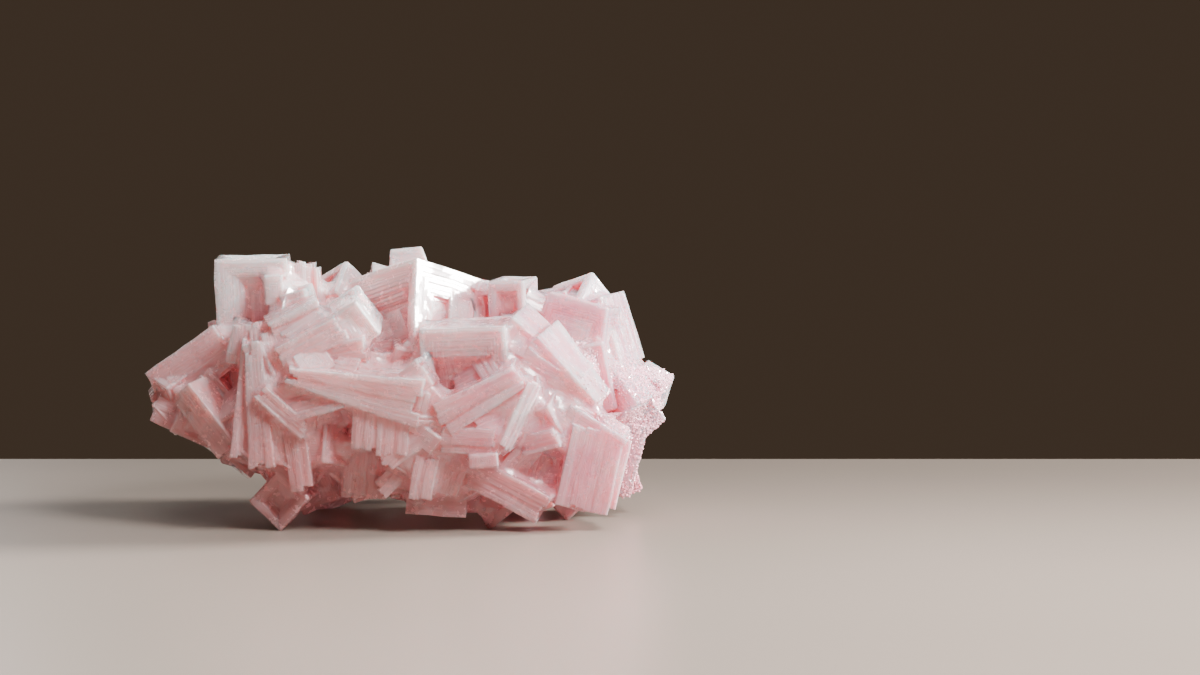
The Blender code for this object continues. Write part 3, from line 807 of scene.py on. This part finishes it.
def growthLinesGroup():
    # streaks that run along a crystal's own X axis: fine lines, and cloudy bands of frost
    group, source, result = newGroup("growthLines", [
        ("Grain", "NodeSocketVector", None), ("Spacing", "NodeSocketFloat", 0.7), ("Run", "NodeSocketFloat", 14.0)],
        [("Lines", "NodeSocketFloat"), ("Bands", "NodeSocketFloat")])
    across = mathNode(group, "DIVIDE", 1.0, source.outputs["Spacing"])
    along = mathNode(group, "DIVIDE", across, source.outputs["Run"])
    stretch = addNode(group, "ShaderNodeCombineXYZ", {0: along, 1: across, 2: across}).outputs[0]
    point = addNode(group, "ShaderNodeVectorMath", {0: source.outputs["Grain"], 1: stretch},
                    operation="MULTIPLY").outputs[0]
    fineNoise = addNode(group, "ShaderNodeTexNoise", {"Vector": point, "Scale": 1.0, "Detail": 2.0,
                                                      "Roughness": 0.6}).outputs[0]
    bandNoise = addNode(group, "ShaderNodeTexNoise", {"Vector": point, "Scale": 0.22, "Detail": 3.0,
                                                      "Roughness": 0.55}).outputs[0]
    group.links.new(ramp(group, fineNoise, 0.38, 0.66), result.inputs["Lines"])
    group.links.new(ramp(group, bandNoise, 0.4, 0.62), result.inputs["Bands"])
    return group


def growthRingsGroup():
    # nested squares on a cube's faces, from the middle one of its three cell coordinates
    group, source, result = newGroup("growthRings", [
        ("Cell", "NodeSocketVector", None), ("Grain", "NodeSocketVector", None), ("Count", "NodeSocketFloat", 9.0)],
        [("Lines", "NodeSocketFloat"), ("Bands", "NodeSocketFloat")])
    size = addNode(group, "ShaderNodeVectorMath", {0: source.outputs["Cell"]}, operation="ABSOLUTE").outputs[0]
    x, y, z = addNode(group, "ShaderNodeSeparateXYZ", {0: size}).outputs[:3]
    low = mathNode(group, "MINIMUM", x, y)
    high = mathNode(group, "MAXIMUM", x, y)
    middle = mathNode(group, "MAXIMUM", low, mathNode(group, "MINIMUM", high, z))
    sway = addNode(group, "ShaderNodeTexNoise", {"Vector": source.outputs["Grain"], "Scale": 0.35, "Detail": 2.0}).outputs[0]
    swayed = mathNode(group, "ADD", middle, mathNode(group, "MULTIPLY", sway, 0.07))
    line = addNode(group, "ShaderNodeTexNoise", {"W": mathNode(group, "MULTIPLY", swayed, source.outputs["Count"]),
                                                 "Scale": 1.6, "Detail": 2.0}, noise_dimensions="1D").outputs[0]
    band = addNode(group, "ShaderNodeTexNoise", {"W": mathNode(group, "MULTIPLY", swayed, source.outputs["Count"]),
                                                 "Scale": 0.45, "Detail": 1.0}, noise_dimensions="1D").outputs[0]
    group.links.new(ramp(group, line, 0.4, 0.62), result.inputs["Lines"])
    group.links.new(ramp(group, band, 0.4, 0.6), result.inputs["Bands"])
    return group


saltLook = {
    # painted shade: deeper pink laid into crevices where the surroundings are blocked
    "paintedShadePink": (0.84, 0.2, 0.24, 1),
    # painted shade: darker pink towards the bottom of the cluster
    "paintedLowShadePink": (0.6, 0.24, 0.24, 1),
    # the body pink on the left and the cool pink on the right differ as a painted lighting tint: warmer on the shaded
    # left, cooler on the lit right
    "bodyPink": (0.9, 0.4, 0.42, 1),
    "paintedLitSidePink": (0.95, 0.27, 0.4, 1),
    "palePink": (0.94, 0.56, 0.585, 1),
    "frostWhite": (0.985, 0.885, 0.9, 1),
    # painted lighting tint: cooler frost on the lit right side
    "paintedLitSideFrost": (0.985, 0.83, 0.9, 1),
    "scatterRadius": (1.0, 0.6, 0.55),
    "scatterScale": 0.007,
    "clearness": 0.37,
    "ior": 1.54,
}


def attributeNode(tree, name, kind="GEOMETRY"):
    return addNode(tree, "ShaderNodeAttribute", attribute_name=name, attribute_type=kind)


def saltColourGroup():
    # pink, with painted shade (deeper pink in occluded crevices and towards the bottom), a painted lighting tint cooler
    # towards the lit right side, and whitened by frost and by painted light that grows upwards and to the right
    group, source, result = newGroup("saltColour", [
        ("Frost", "NodeSocketFloat", 0.3), ("Pocket", "NodeSocketFloat", 0.0), ("Tone", "NodeSocketFloat", 0.5)],
        [("Colour", "NodeSocketColor"), ("Wisp", "NodeSocketFloat")])
    place = addNode(group, "ShaderNodeTexCoord").outputs["Object"]
    cloud = addNode(group, "ShaderNodeTexNoise", {"Vector": place, "Scale": 70.0, "Detail": 4.0, "Roughness": 0.6}).outputs[0]
    wisp = addNode(group, "ShaderNodeTexNoise", {"Vector": place, "Scale": 420.0, "Detail": 3.0, "Roughness": 0.6}).outputs[0]
    x, y, z = addNode(group, "ShaderNodeSeparateXYZ", {0: place}).outputs[:3]
    # painted lighting tint: pink and frost turn cooler towards the lit right side
    side = ramp(group, x, -0.01, 0.06)
    # painted light: the whitening grows upwards and to the right, where the light falls
    lifted = mathNode(group, "ADD", z, mathNode(group, "MULTIPLY", x, 0.25))
    frostAndPaintedLight = mathNode(group, "MULTIPLY", source.outputs["Frost"], ramp(group, lifted, 0.015, 0.065, 0.6, 0.95), clamp=True)
    body = mixColour(group, side, saltLook["bodyPink"], saltLook["paintedLitSidePink"])
    cloudy = mathNode(group, "ADD", cloud, mathNode(group, "MULTIPLY", source.outputs["Tone"], 0.1))
    body = mixColour(group, ramp(group, cloudy, 0.42, 0.74), body, saltLook["palePink"])
    frostColour = mixColour(group, side, saltLook["frostWhite"], saltLook["paintedLitSideFrost"])
    body = mixColour(group, frostAndPaintedLight, body, frostColour)
    whiter = mathNode(group, "MULTIPLY_ADD", source.outputs["Tone"], -0.35, 1.0)
    shaded = mathNode(group, "MULTIPLY", source.outputs["Pocket"], whiter)
    # painted shade: occluded crevices turn deeper pink, less so on frosty crystals
    body = mixColour(group, ramp(group, shaded, 0.22, 0.85, 0, 0.9), body, saltLook["paintedShadePink"])
    # painted shade: darker pink towards the bottom
    body = mixColour(group, ramp(group, lifted, 0.05, 0.0, 0, 0.75), body, saltLook["paintedLowShadePink"])
    group.links.new(body, result.inputs["Colour"])
    group.links.new(wisp, result.inputs["Wisp"])
    return group


def setSalt(shader, scale):
    shader.inputs["Subsurface Weight"].default_value = 1
    shader.inputs["Subsurface Radius"].default_value = saltLook["scatterRadius"]
    shader.inputs["Subsurface Scale"].default_value = scale
    shader.inputs["IOR"].default_value = saltLook["ior"]
    shader.inputs["Coat Weight"].default_value = 0.8
    shader.inputs["Coat Roughness"].default_value = 0.05
    shader.inputs["Coat IOR"].default_value = 1.5


def pinkHaliteMaterial():
    material = bpy.data.materials.new("pinkHalite")
    material.use_nodes = True
    tree = material.node_tree
    shader = tree.nodes["Principled BSDF"]
    grain = attributeNode(tree, "grain").outputs["Vector"]
    cell = attributeNode(tree, "cell").outputs["Vector"]
    habit = attributeNode(tree, "habit").outputs["Vector"]
    pocket = attributeNode(tree, "pocket").outputs["Fac"]
    crust = attributeNode(tree, "sugar").outputs["Fac"]
    tone, isSlab, reach = addNode(tree, "ShaderNodeSeparateXYZ", {0: habit}).outputs[:3]
    lines = addNode(tree, "ShaderNodeGroup", node_tree=bpy.data.node_groups["growthLines"])
    tree.links.new(grain, lines.inputs["Grain"])
    rings = addNode(tree, "ShaderNodeGroup", node_tree=bpy.data.node_groups["growthRings"])
    tree.links.new(cell, rings.inputs["Cell"])
    tree.links.new(grain, rings.inputs["Grain"])
    fineLines = addNode(tree, "ShaderNodeMix", {0: isSlab, 2: rings.outputs["Lines"], 3: lines.outputs["Lines"]}).outputs[0]
    bands = addNode(tree, "ShaderNodeMix", {0: isSlab, 2: rings.outputs["Bands"], 3: lines.outputs["Bands"]}).outputs[0]
    facing = addNode(tree, "ShaderNodeNewGeometry").outputs["Normal"]
    # painted light: convex edges whitened as a glow, except in occluded crevices
    wide = addNode(tree, "ShaderNodeBevel", {"Radius": 0.0011}, samples=4).outputs[0]
    flat = addNode(tree, "ShaderNodeVectorMath", {0: wide, 1: facing}, operation="DOT_PRODUCT").outputs["Value"]
    edge = mathNode(tree, "MULTIPLY", ramp(tree, flat, 0.97, 0.8), ramp(tree, pocket, 0.5, 0.25))
    # whitening: real frost from each crystal's tone, growth bands, lines and sugar crust, plus painted light on the
    # outer crystals and convex edges
    frostAndPaintedLight = mathNode(tree, "MULTIPLY", ramp(tree, reach, 0.55, 1.0), 0.25)
    frostAndPaintedLight = mathNode(tree, "ADD", frostAndPaintedLight, mathNode(tree, "MULTIPLY", tone, 0.38))
    frostAndPaintedLight = mathNode(tree, "ADD", frostAndPaintedLight, mathNode(tree, "MULTIPLY", edge, 0.4))
    frostAndPaintedLight = mathNode(tree, "ADD", frostAndPaintedLight, mathNode(tree, "MULTIPLY", bands, 0.3))
    frostAndPaintedLight = mathNode(tree, "ADD", frostAndPaintedLight, mathNode(tree, "MULTIPLY", fineLines, 0.22))
    # painted shade: less whitening where the surroundings are blocked, so crevices stay pinker
    frostAndPaintedLight = mathNode(tree, "MULTIPLY", frostAndPaintedLight, ramp(tree, pocket, 0.05, 0.55, 1.1, 0.3))
    frostAndPaintedLight = mathNode(tree, "ADD", frostAndPaintedLight, mathNode(tree, "MULTIPLY", crust, 0.4), clamp=True)
    salt = addNode(tree, "ShaderNodeGroup", node_tree=bpy.data.node_groups["saltColour"])
    for label, value in (("Frost", frostAndPaintedLight), ("Pocket", pocket), ("Tone", tone)):
        tree.links.new(value, salt.inputs[label])
    tree.links.new(salt.outputs["Colour"], shader.inputs["Base Color"])
    wisp = salt.outputs["Wisp"]
    rough = addNode(tree, "ShaderNodeMapRange", {0: wisp, 1: 0.35, 2: 0.7, 3: 0.12, 4: 0.36}).outputs[0]
    tree.links.new(rough, shader.inputs["Roughness"])
    place = addNode(tree, "ShaderNodeTexCoord").outputs["Object"]
    swell = addNode(tree, "ShaderNodeTexNoise", {"Vector": place, "Scale": 190.0, "Detail": 1.0}).outputs[0]
    height = mathNode(tree, "ADD", mathNode(tree, "MULTIPLY", fineLines, 0.7), mathNode(tree, "MULTIPLY", wisp, 0.5))
    height = mathNode(tree, "ADD", height, mathNode(tree, "MULTIPLY", swell, 3.0))
    facets = addNode(tree, "ShaderNodeTexVoronoi", {"Vector": place, "Scale": 1300.0}).outputs["Distance"]
    sparkle = mathNode(tree, "ADD", mathNode(tree, "MULTIPLY", crust, 1.6), mathNode(tree, "MULTIPLY", ramp(tree, wisp, 0.5, 0.66), 0.12))
    height = mathNode(tree, "ADD", height, mathNode(tree, "MULTIPLY", facets, sparkle))
    rounded = addNode(tree, "ShaderNodeBevel", {"Radius": 0.0008}, samples=6).outputs[0]
    bump = addNode(tree, "ShaderNodeBump", {"Height": height, "Strength": 0.5, "Distance": 0.00022, "Normal": rounded}).outputs[0]
    tree.links.new(bump, shader.inputs["Normal"])
    setSalt(shader, saltLook["scatterScale"])
    shader.inputs["Transmission Weight"].default_value = saltLook["clearness"]
    return material


def sugarSaltMaterial():
    material = bpy.data.materials.new("sugarSalt")
    material.use_nodes = True
    tree = material.node_tree
    shader = tree.nodes["Principled BSDF"]
    salt = addNode(tree, "ShaderNodeGroup", {"Frost": 0.55, "Pocket": 0.0, "Tone": 0.5},
                   node_tree=bpy.data.node_groups["saltColour"])
    tree.links.new(salt.outputs["Colour"], shader.inputs["Base Color"])
    rough = addNode(tree, "ShaderNodeMapRange", {0: salt.outputs["Wisp"], 1: 0.3, 2: 0.7, 3: 0.05, 4: 0.25}).outputs[0]
    tree.links.new(rough, shader.inputs["Roughness"])
    setSalt(shader, 0.0004)
    shader.inputs["Subsurface Weight"].default_value = 0
    return material


growthLinesGroup()
growthRingsGroup()
saltColourGroup()
pinkHalite = pinkHaliteMaterial()
sugarSalt = sugarSaltMaterial()


def growCluster():
    crystals, grown = growCrystals()
    mesh, crystals, helpers = fuseCrystals(crystals, grown)
    print("fused", len(crystals), "crystals")
    keepOuterSkin(mesh)
    mesh = thinOut(mesh)
    owner = markCrystals(mesh, crystals, grown)
    for obj in (*helpers, *grown.objects):
        bpy.data.objects.remove(obj)
    bpy.data.collections.remove(grown)
    mesh.polygons.foreach_set("use_smooth", [True] * len(mesh.polygons))
    mesh.set_sharp_from_angle(angle=math.radians(26))
    # the blocked share of each face's surroundings, which the material turns into painted shade
    plainAttribute(mesh, "pocket", occlusion(mesh), "CORNER")
    mesh.name = "haliteCrystals"
    mesh.materials.clear()
    mesh.materials.append(pinkHalite)
    piece = bpy.data.objects.new("haliteCrystals", mesh)
    bpy.context.scene.collection.objects.link(piece)
    print("cluster", len(mesh.polygons), "triangles")
    return piece


# ---- sugary growth: tiny cubes where the cluster is crusted ----

sugar = {
    "density": 5500000.0,    # grains per square metre where the crust is full
    "smallest": 0.18,        # mm
    "largest": 0.55,
    "seed": 5,
    # place and radius in mm, and how full the crust is
    "zones": ((66, -4, 34, 13, 0.9), (60, -14, 42, 9, 0.4), (63, -6, 14, 13, 0.8), (65, -2, 24, 10, 0.7),
              (42, -21, 56, 3, 0.8), (46, -21.5, 51, 3, 0.9), (49, -22, 46, 3, 0.9), (52, -22.5, 42, 3, 0.9),
              (55, -24, 37.5, 3.5, 0.9),
              (48, -31, 33, 3, 0.5), (54, -32, 30, 3, 0.55), (59, -31, 26.5, 3, 0.6), (62, -25, 20, 4, 0.6),
              (-69, -12, 38, 7, 0.5), (-66, -18, 30, 6, 0.5), (-13, -28, 62, 4, 0.8), (-19, -31, 58, 3, 0.5),
              (-3, -38, 41, 3, 0.9), (37, -33, 35, 3, 0.6), (4, -28, 58, 4, 0.5), (17, -12, 63, 4, 0.5),
              (30, 36, 38, 10, 0.6), (-42, 28, 44, 9, 0.5), (4, 40, 26, 9, 0.5), (-16, 34, 58, 7, 0.4),
              (58, 16, 22, 9, 0.7), (-64, 14, 30, 7, 0.5)),
}


def sugarMask(mesh):
    points, _ = meshArrays(mesh)
    full = np.zeros(len(points))
    for x, y, z, radius, strength in sugar["zones"]:
        away = np.linalg.norm(points - (x, y, z), axis=1) / radius
        full = np.maximum(full, strength * np.clip(1.6 - 1.1 * away, 0, 1))
    patchy = np.array([noise.noise(Vector(p) * 0.16) for p in points.tolist()])
    return np.clip((full * np.clip(0.65 + 1.8 * patchy, 0, 1) - 0.3) * 4, 0, 1)


def sugarTree(material):
    tree = bpy.data.node_groups.new("sugarGrains", "GeometryNodeTree")
    tree.interface.new_socket("Geometry", in_out="INPUT", socket_type="NodeSocketGeometry")
    for label, kind in (("Density", "NodeSocketFloat"), ("Smallest", "NodeSocketFloat"),
                        ("Largest", "NodeSocketFloat"), ("Seed", "NodeSocketInt")):
        tree.interface.new_socket(label, in_out="INPUT", socket_type=kind)
    tree.interface.new_socket("Geometry", in_out="OUTPUT", socket_type="NodeSocketGeometry")
    source = tree.nodes.new("NodeGroupInput")
    result = tree.nodes.new("NodeGroupOutput")
    mask = addNode(tree, "GeometryNodeInputNamedAttribute", {"Name": "sugar"}, data_type="FLOAT")
    density = mathNode(tree, "MULTIPLY", source.outputs["Density"], mask.outputs["Attribute"])
    points = addNode(tree, "GeometryNodeDistributePointsOnFaces", {
        "Mesh": source.outputs["Geometry"], "Density": density, "Seed": source.outputs["Seed"]})
    grain = addNode(tree, "GeometryNodeMeshCube", {"Size": (1, 1, 1)})
    turn = addNode(tree, "FunctionNodeRandomValue", {"Max": (6.283, 6.283, 6.283), "Seed": source.outputs["Seed"]},
                   data_type="FLOAT_VECTOR")
    size = addNode(tree, "FunctionNodeRandomValue", {2: source.outputs["Smallest"], 3: source.outputs["Largest"],
                                                     "Seed": source.outputs["Seed"]}, data_type="FLOAT")
    stand = addNode(tree, "GeometryNodeInstanceOnPoints", {
        "Points": points.outputs["Points"], "Instance": grain.outputs["Mesh"],
        "Rotation": turn.outputs["Value"], "Scale": size.outputs[1]})
    real = addNode(tree, "GeometryNodeRealizeInstances", {"Geometry": stand.outputs["Instances"]})
    finish = addNode(tree, "GeometryNodeSetMaterial", {"Geometry": real.outputs["Geometry"], "Material": material})
    tree.links.new(finish.outputs["Geometry"], result.inputs["Geometry"])
    return tree


def growSugar(piece, material):
    plainAttribute(piece.data, "sugar", sugarMask(piece.data))
    tree = sugarTree(material)
    carrier = bpy.data.objects.new("sugarCarrier", piece.data.copy())
    bpy.context.scene.collection.objects.link(carrier)
    grow = carrier.modifiers.new("grains", "NODES")
    grow.node_group = tree
    values = {"Density": sugar["density"], "Smallest": sugar["smallest"] * mm, "Largest": sugar["largest"] * mm,
              "Seed": sugar["seed"]}
    for item in tree.interface.items_tree:
        if item.in_out == "INPUT" and item.name in values:
            grow[item.identifier] = values[item.name]
    mesh = shapeOf(carrier)
    bpy.data.objects.remove(carrier)
    mesh.name = "sugarGrains"
    grains = bpy.data.objects.new("sugarGrains", mesh)
    bpy.context.scene.collection.objects.link(grains)
    mesh.calc_loop_triangles()
    print("sugar", len(mesh.loop_triangles), "triangles")
    return grains


piece = growCluster()
grains = growSugar(piece, sugarSalt)
for made in (piece, grains):
    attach(made, "root")
    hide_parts("halite_cluster")


# ---- stage ----

studio = {
    "tableBack": 0.128,          # the table's far edge, m
    "tableColour": (0.28, 0.232, 0.196, 1),
    "wallColour": (0.052, 0.035, 0.0235, 1),
    "camera": (0.0531, -0.6617, 0.0967),
    "tilt": 86,
    "lens": 70,
}


def stageMaterial():
    material = bpy.data.materials.new("tableTop")
    material.use_nodes = True
    tree = material.node_tree
    shader = tree.nodes["Principled BSDF"]
    place = addNode(tree, "ShaderNodeTexCoord").outputs["Object"]
    speck = addNode(tree, "ShaderNodeTexNoise", {"Vector": place, "Scale": 9.0, "Detail": 4.0}).outputs[0]
    r, g, b, a = studio["tableColour"]
    tone = mixColour(tree, ramp(tree, speck, 0.3, 0.7), (r * 0.97, g * 0.97, b * 0.97, 1), (r, g, b, 1))
    # painted shade: the table darkens towards its back edge
    y = addNode(tree, "ShaderNodeSeparateXYZ", {0: place}).outputs[1]
    tone = mixColour(tree, ramp(tree, y, -0.12, 0.128, 0, 0.5), tone, (0, 0, 0, 1))
    tree.links.new(tone, shader.inputs["Base Color"])
    shader.inputs["Roughness"].default_value = 0.32
    return material


def addTable():
    bm = bmesh.new()
    bmesh.ops.create_cube(bm, size=1)
    bm.transform(Matrix.Translation((0, studio["tableBack"] - 0.9, -0.015)) @ Matrix.Diagonal((4, 1.8, 0.03, 1)))
    table = looseObject("tableTop", bm)
    table.data.materials.append(stageMaterial())


def addLight(name, at, towards, size, power, colour=(1, 1, 1)):
    lamp = bpy.data.lights.new(name, "AREA")
    lamp.shape = "SQUARE"
    lamp.size = size
    lamp.energy = power
    lamp.color = colour
    obj = bpy.data.objects.new(name, lamp)
    obj.location = at
    obj.rotation_euler = (Vector(towards) - Vector(at)).to_track_quat("-Z", "Y").to_euler()
    bpy.context.scene.collection.objects.link(obj)


def setStage():
    addTable()
    world = bpy.data.worlds.new("studio")
    world.use_nodes = True
    world.node_tree.nodes["Background"].inputs["Color"].default_value = studio["wallColour"]
    world.node_tree.nodes["Background"].inputs["Strength"].default_value = 1
    bpy.context.scene.world = world
    middle = (0, 0, 0.04)
    addLight("keyLight", (1.55, 0.28, 0.6), middle, 0.35, 148, (1, 0.97, 0.94))
    addLight("rightFill", (0.34, -0.28, 0.46), (0.03, 0, 0.04), 0.2, 8.6, (1, 0.97, 0.97))
    addLight("frontFill", (0.1, -0.8, 1.6), middle, 0.8, 9.5, (1, 0.96, 0.95))
    addLight("topFill", (0, 0.1, 1.6), middle, 1.0, 6)
    addLight("backFill", (-0.8, 1.3, 0.9), middle, 0.8, 8)
    camera = bpy.data.objects.new("camera", bpy.data.cameras.new("camera"))
    camera.location = studio["camera"]
    camera.rotation_euler = (math.radians(studio["tilt"]), 0, 0)
    camera.data.lens = studio["lens"]
    camera.data.clip_start = 0.01
    bpy.context.scene.collection.objects.link(camera)
    bpy.context.scene.camera = camera


setStage()
